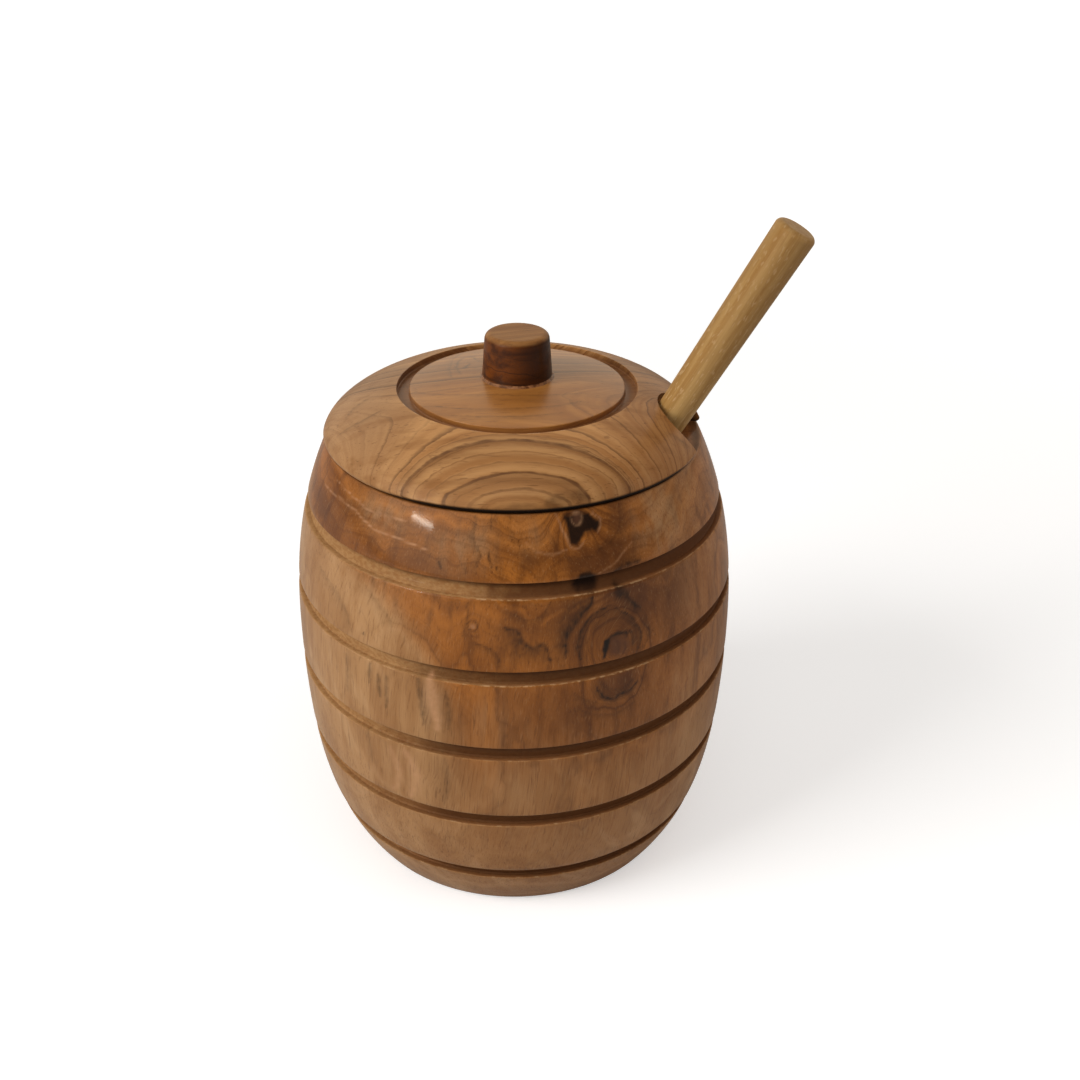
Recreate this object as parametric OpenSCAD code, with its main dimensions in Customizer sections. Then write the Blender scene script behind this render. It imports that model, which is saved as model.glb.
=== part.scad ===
// Lidded honey pot turned from wood, with a leaning dipper that stands in a notch of the lid.
// The pot's foot is on Z = 0 with the pot's axis on Z. The dipper leans towards +X.
// Everything is in millimetres and drawn closed, with the lid on and the dipper at rest.

/* [Pot body] */
// Height of the pot body from its foot to the seam under the lid
body_h = 112.4; // [80:0.1:160]
// Widest diameter of the barrel
belly_d = 110; // [96:0.5:150]
// Height of the widest level above the foot
belly_z = 61; // [40:0.5:75]
// Diameter of the barrel at the foot
foot_d = 84.4; // [70:0.1:94]
// Outer diameter of the barrel at the rim
rim_d = 90; // [88:0.1:95]
// Clear diameter of the mouth
mouth_d = 80.2; // [70:0.1:82]
// Depth of the straight neck below the rim
neck_h = 8; // [6:0.5:14]
// Thickness of the wall at the belly
wall_t = 8; // [5:0.5:10]
// Thickness of the floor
floor_t = 10; // [6:0.5:20]
// Diameter of the flat floor inside
floor_d = 68; // [50:1:70]
// Radius on the outer edge of the rim
rim_round = 1.2; // [0.4:0.1:1.6]
// Radius on the inner edge of the mouth
mouth_round = 0.8; // [0.3:0.1:1.2]
// Break of the sharp edge round the foot
foot_break = 0.8; // [0.3:0.1:1.5]

/* [Turned grooves] */
// Number of grooves round the barrel
groove_count = 5; // [1:1:6]
// Height of the lowest groove's middle above the foot
groove_first = 14.8; // [8:0.1:18]
// Distance from one groove to the next
groove_pitch = 20.4; // [10:0.1:20.6]
// Width of a groove
groove_w = 3.5; // [1.5:0.1:5]
// Depth of a groove
groove_d = 1.6; // [0.6:0.1:2.5]

/* [Lid] */
// Widest diameter of the lid
lid_d = 91.6; // [91:0.1:97]
// Height of the domed part of the lid
dome_h = 13.2; // [8:0.1:20]
// Radius that rolls the lid's edge under, down to the seam
lid_edge = 1.1; // [0.5:0.1:2]
// Outer diameter of the ring cut into the dome
ring_d = 57.3; // [40:0.1:70]
// Width of that ring
ring_w = 3; // [1.5:0.1:5]
// Depth of that ring below the dome
ring_depth = 1.6; // [0.6:0.1:2.5]
// Rise of the round panel from its edge to its middle
panel_rise = 2.3; // [0.5:0.1:4]
// Height of the spigot that locates the lid in the mouth
spigot_h = 4; // [2.5:0.5:6]
// Radial width of the spigot
spigot_w = 7.7; // [4:0.1:10]
// Depth of the dish in the lid's underside, above the seam
dish_h = 3.5; // [1:0.5:5]
// Chamfer round the spigot's lower edge
spigot_chamfer = 0.8; // [0.3:0.1:1.5]

/* [Knob] */
// Diameter of the knob where it meets the lid
knob_base_d = 16.8; // [12:0.1:24]
// Diameter of the knob near its top
knob_top_d = 16.2; // [10:0.1:24]
// Height of the knob above the lid
knob_h = 10.8; // [7:0.1:20]
// Radius on the knob's top edge
knob_round = 1.6; // [0.4:0.1:2.5]
// Diameter of the knob's tenon
tenon_d = 8; // [5:0.1:10]
// Length of the knob's tenon
tenon_l = 7; // [4:0.5:8]

/* [Dipper] */
// Length of the whole dipper
dipper_l = 170; // [150:1:200]
// Tilt of the dipper away from upright
dipper_tilt = 28.6; // [26:0.1:31]
// Direction in which the dipper leans, counted from +X
dipper_turn = -8; // [-40:1:40]
// Diameter of the stick at its upper end
stick_top_d = 10; // [8:0.1:12]
// Diameter of the stick where it enters the head
stick_neck_d = 6; // [5:0.1:7.5]
// Radius on the edge of the stick's upper end
stick_round = 1.5; // [0.4:0.1:2.5]
// Length of the grooved head
head_l = 38; // [30:1:44]
// Diameter of the head at its middle
head_d = 26; // [20:0.5:30]
// Diameter of the head at its two ends
head_end_d = 18; // [14:0.5:20]
// Number of slots that hold the honey
slot_count = 5; // [3:1:6]
// Width of a slot
slot_w = 3; // [1.5:0.1:3.5]
// Diameter of the core between the slots
core_d = 12; // [10:0.5:13]
// Depth of the blind hole in the head that takes the stick
socket_l = 14; // [8:1:20]

/* [Fits] */
// Radial clearance of the spigot in the mouth
spigot_gap = 0.4; // [0.3:0.05:0.8]
// Clearance of the dipper to the floor and to the mouth's edge
rest_gap = 0.3; // [0.2:0.05:0.6]
// Diameter of the hole that cuts the notch into the lid
notch_d = 20.8; // [18:0.1:24]
// Clearance between the stick and the inner end of the notch
notch_gap = 0.8; // [0.5:0.1:2]
// Radial glue gap round the tenon and the stick's lower end
glue_gap = 0.05; // [0.02:0.01:0.1]

/* [Hidden] */
$fn = 128;

// Small overlap that lets a cut run clear through a face
CUT = 1;
STEPS = 28;
ROUND_STEPS = 8;

belly_r = belly_d/2;
foot_r = foot_d/2;
rim_r = rim_d/2;
mouth_r = mouth_d/2;
cavity_r = belly_r - wall_t;
neck_z = body_h - neck_h;

// Share of the way in from the belly, at share u of the way to an end.
// A parabola with part w and a steeper curve of power p together make a barrel's side.
function draw_in(u, w, p) = w*u*u + (1 - w)*pow(u, p);
function below(u) = draw_in(u, 0.45, 4.5);
function above(u) = draw_in(u, 0.5, 3);
// Radius of a barrel that is widest at belly_z, with radius r_low at z_low and r_high at z_high
function barrel(z, r, z_low, r_low, z_high, r_high) = z < belly_z
    ? r - (r - r_low)*below((belly_z - z)/(belly_z - z_low))
    : r - (r - r_high)*above((z - belly_z)/(z_high - belly_z));
function outer_r(z) = barrel(z, belly_r, 0, foot_r, body_h, rim_r);
function inner_r(z) = barrel(z, cavity_r, floor_t, floor_d/2, neck_z, mouth_r);
// Points on an arc in the outline's plane
function arc(x, z, r, from, to) =
    [for (i = [0:ROUND_STEPS]) let (a = from + (to - from)*i/ROUND_STEPS) [x + r*cos(a), z + r*sin(a)]];
function spread(from, to, i) = from + (to - from)*i/STEPS;

// Slope of the barrel's side at the rim, as an angle from upright
rim_slope = atan((outer_r(body_h - 1) - outer_r(body_h)));
rim_round_z = body_h - rim_round;
rim_round_r = outer_r(rim_round_z + rim_round*sin(rim_slope)) - rim_round*cos(rim_slope);

function groove_z(i) = groove_first + i*groove_pitch;

// Dome: a flattened curve that turns steep at the edge
lid_r = lid_d/2;
DOME_FLAT = 2.86;
DOME_FULL = 1.59;
dome_z0 = body_h + 0.3;
function dome_z(r) = dome_z0 + dome_h*pow(1 - pow(r/lid_r, DOME_FLAT), 1/DOME_FULL);
function dome_r(z) = lid_r*pow(1 - pow((z - dome_z0)/dome_h, DOME_FULL), 1/DOME_FLAT);
edge_z = body_h + lid_edge;
edge_r = dome_r(edge_z);
ring_r = ring_d/2;
panel_r = ring_r - ring_w;
panel_z = dome_z(ring_r) - 0.1;
ring_floor = dome_z(ring_r) - ring_depth;
knob_r = knob_base_d/2;
function panel_at(r) = panel_z + panel_rise*(1 - pow(r/panel_r, 2));
seat_z = panel_at(knob_r);
spigot_r = mouth_r - spigot_gap;
spigot_z = body_h - spigot_h;
dish_r = spigot_r - spigot_w;

// Dipper: its lower edge rests on the floor and its stick against the mouth's edge
stick_taper = (stick_top_d - stick_neck_d)/2/(dipper_l - head_l);
function stick_r(l) = stick_neck_d/2 + stick_taper*(l - head_l);
foot_z = floor_t + rest_gap + head_end_d/2*sin(dipper_tilt);
// Distance from the stick's axis to the mouth's edge, where the tapered stick just clears it
lean_gap = (stick_r((body_h - foot_z)/cos(dipper_tilt)) + rest_gap)
    /(1 - stick_taper*tan(dipper_tilt));
lean_l = (body_h + lean_gap*sin(dipper_tilt) - foot_z)/cos(dipper_tilt);
foot_x = mouth_r - lean_gap*cos(dipper_tilt) - lean_l*sin(dipper_tilt);
// The notch is drilled along the dipper, a little further out than the stick
notch_out = notch_d/2 - stick_r((edge_z + dome_h - foot_z)/cos(dipper_tilt)) - notch_gap;

module on_dipper() {
    rotate([0, 0, dipper_turn]) translate([foot_x, 0, foot_z]) rotate([0, dipper_tilt, 0]) children();
}

module groove_cut(z) {
    low = z - groove_w/2;
    high = z + groove_w/2;
    rotate_extrude() polygon([
        [outer_r(low) - groove_d, low], [belly_r + CUT, low],
        [belly_r + CUT, high], [outer_r(high) - groove_d, high]
    ]);
}

module pot_body() {
    outside = [for (i = [0:2*STEPS]) let (z = spread(foot_break, rim_round_z, i/2)) [outer_r(z), z]];
    inside = [for (i = [0:2*STEPS]) let (z = spread(neck_z, floor_t, i/2)) [inner_r(z), z]];
    color("peru") difference() {
        rotate_extrude() polygon(concat(
            [[0, 0], [foot_r - foot_break, 0]],
            outside,
            arc(rim_round_r, rim_round_z, rim_round, rim_slope, 90),
            arc(mouth_r + mouth_round, body_h - mouth_round, mouth_round, 90, 180),
            inside,
            [[0, floor_t]]
        ));
        for (i = [0:groove_count - 1]) groove_cut(groove_z(i));
    }
}

module lid() {
    lean_in = asin(ring_r/edge_r);
    dome = [for (i = [0:STEPS]) let (r = edge_r*sin(spread(90, lean_in, i))) [r, dome_z(r)]];
    panel = [for (i = [0:STEPS]) let (r = spread(panel_r, knob_r, i)) [r, panel_at(r)]];
    color("sienna") difference() {
        rotate_extrude() polygon(concat(
            [[0, body_h + dish_h], [dish_r - dish_h, body_h + dish_h], [dish_r, body_h],
             [dish_r, spigot_z], [spigot_r - spigot_chamfer, spigot_z],
             [spigot_r, spigot_z + spigot_chamfer], [spigot_r, body_h]],
            arc(edge_r - lid_edge, edge_z, lid_edge, -90, -1),
            dome,
            [[ring_r, ring_floor], [panel_r, ring_floor]],
            panel,
            [[0, seat_z]]
        ));
        translate([0, 0, seat_z - tenon_l - CUT]) cylinder(d = tenon_d + 2*glue_gap, h = tenon_l + 2*CUT);
        on_dipper() translate([notch_out, 0, 0]) cylinder(d = notch_d, h = dipper_l);
    }
}

module knob() {
    top_z = seat_z + knob_h;
    top_r = knob_top_d/2;
    color("saddlebrown") rotate_extrude() polygon(concat(
        [[0, seat_z - tenon_l], [tenon_d/2, seat_z - tenon_l], [tenon_d/2, seat_z], [knob_r, seat_z]],
        arc(top_r - knob_round, top_z - knob_round, knob_round, 0, 90),
        [[0, top_z]]
    ));
}

module dipper_stick() {
    low = head_l - socket_l;
    top_r = stick_top_d/2;
    color("burlywood") on_dipper() rotate_extrude() polygon(concat(
        [[0, low], [stick_neck_d/2, low], [stick_neck_d/2, head_l]],
        arc(top_r - stick_round, dipper_l - stick_round, stick_round, 0, 90),
        [[0, dipper_l]]
    ));
}

module dipper_head() {
    end_r = head_end_d/2;
    bulge = (head_d - head_end_d)/2;
    side = [for (i = [0:STEPS]) let (u = i/STEPS) [end_r + 4*bulge*u*(1 - u), head_l*u]];
    slot_pitch = head_l/(slot_count + 1);
    color("burlywood") on_dipper() difference() {
        rotate_extrude() polygon(concat([[0, 0]], side, [[0, head_l]]));
        for (i = [1:slot_count]) translate([0, 0, i*slot_pitch - slot_w/2]) difference() {
            cylinder(d = head_d + 2*CUT, h = slot_w);
            translate([0, 0, -CUT]) cylinder(d = core_d, h = slot_w + 2*CUT);
        }
        translate([0, 0, head_l - socket_l]) cylinder(d = stick_neck_d + 2*glue_gap, h = socket_l + CUT);
    }
}

pot_body();
lid();
knob();
dipper_stick();
dipper_head();
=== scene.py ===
# %% [markdown]
# # A turned honey pot with its dipper
# The pot is one block of a brown tropical hardwood, turned to a barrel on a lathe, hollowed and lacquered.
# A domed lid with a glued-on knob closes it, and a beech dipper leans out of a notch in the lid.
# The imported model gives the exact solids. This script gives each of them a finer skin and its wood,
# and it never moves them: every skin stays inside the box of the solids.

# %% Load the frame
import math

import bpy
import numpy as np
from mathutils import Matrix, Vector


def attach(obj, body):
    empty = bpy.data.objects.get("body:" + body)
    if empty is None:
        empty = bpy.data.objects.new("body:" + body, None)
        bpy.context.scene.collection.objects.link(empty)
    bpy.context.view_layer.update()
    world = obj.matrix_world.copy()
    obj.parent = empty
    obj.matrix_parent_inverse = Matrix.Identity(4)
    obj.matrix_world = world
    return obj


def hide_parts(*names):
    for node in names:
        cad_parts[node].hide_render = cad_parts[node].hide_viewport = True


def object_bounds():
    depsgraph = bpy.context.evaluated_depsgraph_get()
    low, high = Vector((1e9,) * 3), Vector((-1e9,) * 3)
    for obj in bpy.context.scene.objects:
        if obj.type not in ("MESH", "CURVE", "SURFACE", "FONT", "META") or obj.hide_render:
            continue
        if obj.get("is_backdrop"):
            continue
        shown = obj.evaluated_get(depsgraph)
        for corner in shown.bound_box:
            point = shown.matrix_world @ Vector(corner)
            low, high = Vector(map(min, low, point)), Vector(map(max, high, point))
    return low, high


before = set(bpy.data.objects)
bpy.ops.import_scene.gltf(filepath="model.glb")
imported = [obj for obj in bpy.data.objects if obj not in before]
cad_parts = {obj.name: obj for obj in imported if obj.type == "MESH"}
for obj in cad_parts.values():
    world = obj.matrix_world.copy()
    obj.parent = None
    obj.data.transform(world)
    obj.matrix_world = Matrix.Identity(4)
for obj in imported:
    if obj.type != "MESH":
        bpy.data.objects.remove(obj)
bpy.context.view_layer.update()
MM = 0.001

# %% [markdown]
# ## The shape of the pot
# A turner works to a few diameters and heights, so the same numbers as in the part's source are named here.
# The barrel's side is a parabola mixed with a steeper curve, once for the lower and once for the upper part.

# %% Sizes of the pot body, in millimetres
BODY_H, BELLY_R, BELLY_Z, FOOT_R, RIM_R = 112.4, 55.0, 61.0, 42.2, 45.0
MOUTH_R, NECK_Z, CAVITY_R, FLOOR_T, FLOOR_R = 40.1, 104.4, 47.0, 10.0, 34.0
GROOVES = [14.8, 35.2, 55.6, 76.0, 96.4]
GROOVE_W, GROOVE_D = 3.5, 1.6
RIM_ROUND_R, RIM_ROUND_Z, RIM_ROUND, RIM_TURN, MOUTH_ROUND = 44.246, 111.2, 1.2, 25.6, 0.8
FRONT_COLUMNS = (-72, 62, 0.4, 1.0)  # where fine columns begin and end, their step and the others', in degrees


def draw_in(u, w, p):
    """Share of the way in from the belly to an end, at share u of the way there."""
    u = np.clip(u, 0, None)
    return w * u**2 + (1 - w) * u**p


def barrel(z, r, z_low, r_low, z_high, r_high):
    low = r - (r - r_low) * draw_in((BELLY_Z - z) / (BELLY_Z - z_low), 0.45, 4.5)
    high = r - (r - r_high) * draw_in((z - BELLY_Z) / (z_high - BELLY_Z), 0.5, 3)
    return np.where(z < BELLY_Z, low, high)


def outer_r(z):
    return barrel(np.asarray(z, float), BELLY_R, 0, FOOT_R, BODY_H, RIM_R)


def inner_r(z):
    return barrel(np.asarray(z, float), CAVITY_R, FLOOR_T, FLOOR_R, NECK_Z, MOUTH_R)


print("belly", 2 * BELLY_R, "rim", round(2 * float(outer_r(BODY_H)), 1))

# %% Sizes of the lid, knob and dipper, in millimetres
LID_R, DOME_Z0, DOME_H, EDGE_R, EDGE_Z, LID_EDGE = 45.8, 112.7, 13.2, 45.6136, 113.5, 1.1
RING_R, PANEL_R, RING_FLOOR, PANEL_Z, PANEL_RISE = 28.65, 25.65, 122.01, 123.51, 2.3
SPIGOT_R, SPIGOT_Z, SPIGOT_CHAMFER, DISH_R, DISH_Z = 39.7, 108.4, 0.8, 32.0, 115.9
DISH_FLAT_R, DISH_ROUND, TENON_HOLE_R = 28.2, 0.3, 4.06
RING_OFF, RING_OFF_TO, KNOB_OFF = (0.95, 0.0), (30.0, 44.0), (0.95, 0.8)
SEAT_Z, KNOB_BASE_R, KNOB_TOP_R, KNOB_H, KNOB_ROUND = 125.563, 8.4, 8.1, 10.8, 1.6
TENON_R, TENON_L = 4.0, 7.0
TILT, TURN = math.radians(28.6), math.radians(-8)
FOOT_X, FOOT_Z, DIPPER_L, HEAD_L, SOCKET_L = -18.2846, 14.6082, 170.0, 38.0, 14.0
STICK_TOP_R, STICK_NECK_R, STICK_ROUND = 5.0, 3.0, 1.5
HEAD_END_R, HEAD_BULGE, CORE_R, SLOTS, SLOT_W = 9.0, 4.0, 6.0, 5, 3.0
NOTCH_R, NOTCH_OUT, DRILL_FROM, DRILL_TO = 10.4, 5.24137, 60, 175


def dome_z(r):
    return DOME_Z0 + DOME_H * (1 - (np.asarray(r, float) / LID_R) ** 2.86) ** (1 / 1.59)


def panel_at(r):
    return PANEL_Z + PANEL_RISE * (1 - (np.asarray(r, float) / PANEL_R) ** 2)


dipper_frame = (
    Matrix.Rotation(TURN, 4, "Z")
    @ Matrix.Translation((FOOT_X * MM, 0, FOOT_Z * MM))
    @ Matrix.Rotation(TILT, 4, "Y")
)
print("dome top", round(float(dome_z(0)), 2), "stick leans", round(math.degrees(TILT), 1))

# %% [markdown]
# ## A lathe in code
# On the real pot the gouge follows an outline while the wood turns. The code does the same: a list of
# outline points is turned through a list of angles. A revolved mesh suits better than a modifier here,
# because its columns can lie closer together on the front, where the knots need fine detail.

# %% A lathe that turns an outline into a mesh
def lathe(name, outline, angles):
    """Closed mesh from outline points (radius, height) in mm and the angles of the columns."""
    outline = np.array(outline, float)
    columns, verts, rings = len(angles), [], []
    for r, z in outline:
        if r < 1e-6:
            rings.append([len(verts)] * columns)
            verts.append((0, 0, z))
        else:
            rings.append(range(len(verts), len(verts) + columns))
            verts.extend((r * math.sin(a), -r * math.cos(a), z) for a in angles)
    faces = []
    for low, high in zip(rings, rings[1:]):
        for i in range(columns):
            j = (i + 1) % columns
            face = [low[i], low[j], high[j], high[i]]
            faces.append(list(dict.fromkeys(face)))
    mesh = bpy.data.meshes.new(name)
    mesh.from_pydata([tuple(np.multiply(v, MM)) for v in verts], [], faces)
    mesh.validate()
    return mesh


def finish_mesh(mesh, sharp=35):
    """Shades a mesh smooth, and leaves its hard turned edges sharp."""
    mesh.shade_smooth()
    mesh.set_sharp_from_angle(angle=math.radians(sharp))
    return mesh


def add(name, data, matrix=None):
    """Puts a mesh, lamp or camera in the scene as an object."""
    made = bpy.data.objects.new(name, data)
    bpy.context.scene.collection.objects.link(made)
    if matrix is not None:
        made.matrix_world = matrix
    return made


def place(name, mesh, body, node, matrix=None):
    """Puts a skin in the scene for one CAD node, riding on that node's body."""
    piece = add(name, mesh, matrix)
    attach(piece, body)
    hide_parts(node)
    print(name, "has", len(mesh.vertices), "points")
    return piece


def turn_piece(node, body, outline, angles, matrix=None):
    """Turns the skin of one CAD node and places it."""
    name = node + "_wood"
    return place(name, finish_mesh(lathe(name, outline, angles)), body, node, matrix)


def arc(x, z, r, start, end, steps=5):
    turns = np.radians(np.linspace(start, end, steps))
    return [(x + r * math.cos(a), z + r * math.sin(a)) for a in turns]


def columns(fine_from, fine_to, fine_step, coarse_step):
    """Angles round the axis in radians, 0 at the front, closer together in one sector given in degrees."""
    fine = np.arange(fine_from, fine_to, fine_step)
    coarse = np.arange(fine_to, fine_from + 360, coarse_step)
    return np.radians(np.concatenate([fine, coarse]))


# %% [markdown]
# ## The pot body
# Five square grooves run round the barrel. The parting tool leaves a crisp upper wall and a rougher floor,
# and its corners are a little worn, so each groove gets its own outline points with small rounded edges.

# %% Turn the pot body
WORN, CORNER = 0.25, 0.07


def groove_points(z):
    """Outline of one groove: worn corners, two walls and a floor. The low wall, which shows, has more points."""
    low, high = z - GROOVE_W / 2, z + GROOVE_W / 2
    r_low, r_high = float(outer_r(low)), float(outer_r(high))
    return [
        (float(outer_r(low - WORN)) - 0.02, low - WORN),
        (r_low - CORNER, low - CORNER),
        (r_low - WORN, low),
        (r_low - GROOVE_D * 0.4, low + 0.01),
        (r_low - GROOVE_D * 0.65, low + 0.015),
        (r_low - GROOVE_D + 0.3, low + 0.02),
        (r_low - GROOVE_D, low + 0.3),
        ((r_low + r_high) / 2 - GROOVE_D, z),
        (r_high - GROOVE_D, high - 0.3),
        (r_high - GROOVE_D + 0.3, high - 0.02),
        (r_high - WORN, high),
        (r_high - CORNER, high + CORNER),
        (float(outer_r(high + WORN)) - 0.02, high + WORN),
    ]


def side_rows():
    """Outline of the outer side from the foot to the rim."""
    levels = np.concatenate([np.arange(0.8, 60, 1.0), np.arange(60, 111.0, 0.42)])
    rows = [(float(outer_r(z)), float(z)) for z in levels]
    for middle in GROOVES:
        rows = [p for p in rows if abs(p[1] - middle) > GROOVE_W / 2 + 0.35]
        rows += groove_points(middle)
    return sorted(rows, key=lambda p: p[1])


body_outline = [(0, 0.0), (20, 0.0), (FOOT_R - 0.9, 0.0), (FOOT_R - 0.25, 0.2)]
body_outline += side_rows()
body_outline += arc(RIM_ROUND_R, RIM_ROUND_Z, RIM_ROUND, RIM_TURN, 90, 7)
body_outline += arc(MOUTH_R + MOUTH_ROUND, BODY_H - MOUTH_ROUND, MOUTH_ROUND, 90, 180, 6)
body_outline += [(float(inner_r(z)), float(z)) for z in np.linspace(NECK_Z, FLOOR_T + 0.02, 60)]
body_outline += [(FLOOR_R - 0.6, FLOOR_T), (17, FLOOR_T), (0, FLOOR_T)]

body_mesh = turn_piece("pot_body", "pot", body_outline, columns(*FRONT_COLUMNS)).data

# %% [markdown]
# ## The lid
# The lid is turned from a board, domed, and cut with a ring that frames a slightly raised panel.
# A spigot under it sits in the mouth. The ring stands a little off the middle, so that part of the mesh is
# shifted. The notch for the dipper is a hole drilled at the dipper's own slant, so a cylinder at that slant is
# cut out of the turned mesh, as the drill does.

# %% Turn the lid and drill its notch
lean_in = math.degrees(math.asin(RING_R / EDGE_R))
dome_turns = np.radians(np.linspace(90, lean_in, 96))
lid_outline = [(0, DISH_Z), (DISH_FLAT_R, DISH_Z), *arc(DISH_FLAT_R, DISH_Z - DISH_ROUND, DISH_ROUND, 90, 45, 3)]
lid_outline += [(DISH_R, BODY_H + 0.1), (DISH_R, SPIGOT_Z), (SPIGOT_R - SPIGOT_CHAMFER, SPIGOT_Z)]
lid_outline += [(SPIGOT_R, SPIGOT_Z + SPIGOT_CHAMFER), (SPIGOT_R, BODY_H)]
lid_outline += arc(EDGE_R - LID_EDGE, EDGE_Z, LID_EDGE, -90, -1, 7)
lid_outline += [(EDGE_R * math.sin(a), float(dome_z(EDGE_R * math.sin(a)))) for a in dome_turns[:-1]]
lid_outline += [
    (RING_R + 0.12, float(dome_z(RING_R)) - 0.03), (RING_R, float(dome_z(RING_R)) - 0.15),
    (RING_R, RING_FLOOR + 0.2), (RING_R - 0.2, RING_FLOOR),
    (PANEL_R + 0.2, RING_FLOOR), (PANEL_R, RING_FLOOR + 0.2),
    (PANEL_R, PANEL_Z - 0.15), (PANEL_R - 0.12, PANEL_Z),
]
lid_outline += [(r, float(panel_at(r))) for r in np.linspace(PANEL_R - 0.5, KNOB_BASE_R, 48)]
lid_outline += [(TENON_HOLE_R, SEAT_Z), (TENON_HOLE_R, SEAT_Z - TENON_L), (0, SEAT_Z - TENON_L)]


def shift_middle(mesh, shift, full, none):
    """Moves the points within radius full by shift in mm, and less and less out to radius none."""
    for v in mesh.vertices:
        share = min(max((none - math.hypot(v.co.x, v.co.y) / MM) / (none - full), 0), 1)
        if v.co.z > BODY_H * MM:
            v.co.x += shift[0] * MM * share
            v.co.y += shift[1] * MM * share


lid_mesh = lathe("lid_wood", lid_outline, columns(-75, 75, 0.6, 1.2))
shift_middle(lid_mesh, RING_OFF, *RING_OFF_TO)
drill_outline = [(0, DRILL_FROM), (NOTCH_R, DRILL_FROM), (NOTCH_R, DRILL_TO), (0, DRILL_TO)]
drill_mesh = lathe("drill", drill_outline, np.radians(np.arange(0, 360, 2.5)))


def drill_out(mesh, cutter, matrix):
    """The mesh with the cutter's shape taken out of it."""
    block, bit = add("block", mesh), add("bit", cutter, matrix)
    cut = block.modifiers.new("cut", "BOOLEAN")
    cut.operation, cut.solver, cut.object = "DIFFERENCE", "EXACT", bit
    bpy.context.view_layer.update()
    done = bpy.data.meshes.new_from_object(block.evaluated_get(bpy.context.evaluated_depsgraph_get()))
    for used in (block, bit):
        bpy.data.objects.remove(used)
    return done


notch_frame = dipper_frame @ Matrix.Translation((NOTCH_OUT * MM, 0, 0))
lid_mesh = finish_mesh(drill_out(lid_mesh, drill_mesh, notch_frame), 38)
lid_mesh.name = "lid_wood"
place("lid_wood", lid_mesh, "lid", "lid")

# %% [markdown]
# ## The knob
# The knob is a short plug with a soft top edge, glued into the lid by a tenon. Its skin narrows to the top a
# little more than its solid, and stands a little off the middle, as on the real pot. Some glue stood up round
# its foot, which shows as a glossy bead.

# %% Turn the knob and lay its glue bead
knob_top_z, KNOB_SKIN_R = SEAT_Z + KNOB_H, KNOB_TOP_R - 0.4
knob_outline = [(0, SEAT_Z - TENON_L), (TENON_R, SEAT_Z - TENON_L), (TENON_R, SEAT_Z), (KNOB_BASE_R, SEAT_Z)]
knob_outline += [
    (KNOB_BASE_R + (KNOB_SKIN_R - KNOB_BASE_R) * u, SEAT_Z + (KNOB_H - KNOB_ROUND) * u)
    for u in np.linspace(0.02, 0.98, 24)
]
knob_outline += arc(KNOB_SKIN_R - KNOB_ROUND, knob_top_z - KNOB_ROUND, KNOB_ROUND, 0, 90, 9)
knob_outline += [(r, knob_top_z) for r in (5.6, 4.2, 2.6, 1.2, 0)]
full_turn = np.radians(np.arange(0, 360, 2.0))
knob_frame = Matrix.Translation((KNOB_OFF[0] * MM, KNOB_OFF[1] * MM, 0))
knob = turn_piece("knob", "lid", knob_outline, full_turn, knob_frame)

BEAD = [(-0.3, -0.25), (0.7, -0.2), (0.4, 0.05), (0.1, 0.3), (-0.1, 0.6), (-0.3, 0.55), (-0.3, -0.25)]
bead_outline = [(KNOB_BASE_R + out, SEAT_Z + up) for out, up in BEAD]
bead = add("glue_bead", finish_mesh(lathe("glue_bead", bead_outline, full_turn), 60), knob_frame)
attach(bead, "lid")

# %% [markdown]
# ## The dipper
# Its stick is a slim taper with a sawn and slightly softened end. Its head, hidden in the pot, is turned with
# slots that hold the honey. Both have their own frame, with Z along the stick, so that the grain follows it.

# %% Turn the stick and the head
def stick_r(along):
    return STICK_NECK_R + (STICK_TOP_R - STICK_NECK_R) * (along - HEAD_L) / (DIPPER_L - HEAD_L)


stick_outline = [(0, HEAD_L - SOCKET_L), (STICK_NECK_R, HEAD_L - SOCKET_L), (STICK_NECK_R, HEAD_L)]
stick_outline += [(stick_r(along), along) for along in np.linspace(HEAD_L + 1, DIPPER_L - STICK_ROUND, 60)]
stick_outline += arc(STICK_TOP_R - STICK_ROUND, DIPPER_L - STICK_ROUND, STICK_ROUND, 10, 90, 7)
stick_outline += [(2, DIPPER_L), (0, DIPPER_L)]
stick = turn_piece("dipper_stick", "dipper", stick_outline, full_turn, dipper_frame)


def head_side(along):
    u = along / HEAD_L
    return HEAD_END_R + 4 * HEAD_BULGE * u * (1 - u)


head_outline, pitch = [(0, 0), (head_side(0) - 0.4, 0), (head_side(0), 0.4)], HEAD_L / (SLOTS + 1)
for i in range(1, SLOTS + 1):
    low, high = i * pitch - SLOT_W / 2, i * pitch + SLOT_W / 2
    for along in np.linspace(head_outline[-1][1] + 0.2, low - 0.3, 6):
        head_outline.append((head_side(along), along))
    head_outline += [(head_side(low) - 0.25, low), (CORE_R + 0.3, low), (CORE_R, low + 0.3)]
    head_outline += [(CORE_R, high - 0.3), (CORE_R + 0.3, high), (head_side(high) - 0.25, high)]
head_outline += [(head_side(along), along) for along in np.linspace(head_outline[-1][1] + 0.3, HEAD_L - 0.4, 6)]
head_outline += [(head_side(HEAD_L) - 0.4, HEAD_L), (STICK_NECK_R + 0.05, HEAD_L)]
head_outline += [(STICK_NECK_R + 0.05, HEAD_L - SOCKET_L), (0, HEAD_L - SOCKET_L)]
head = turn_piece("dipper_head", "dipper", head_outline, full_turn, dipper_frame)

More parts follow.
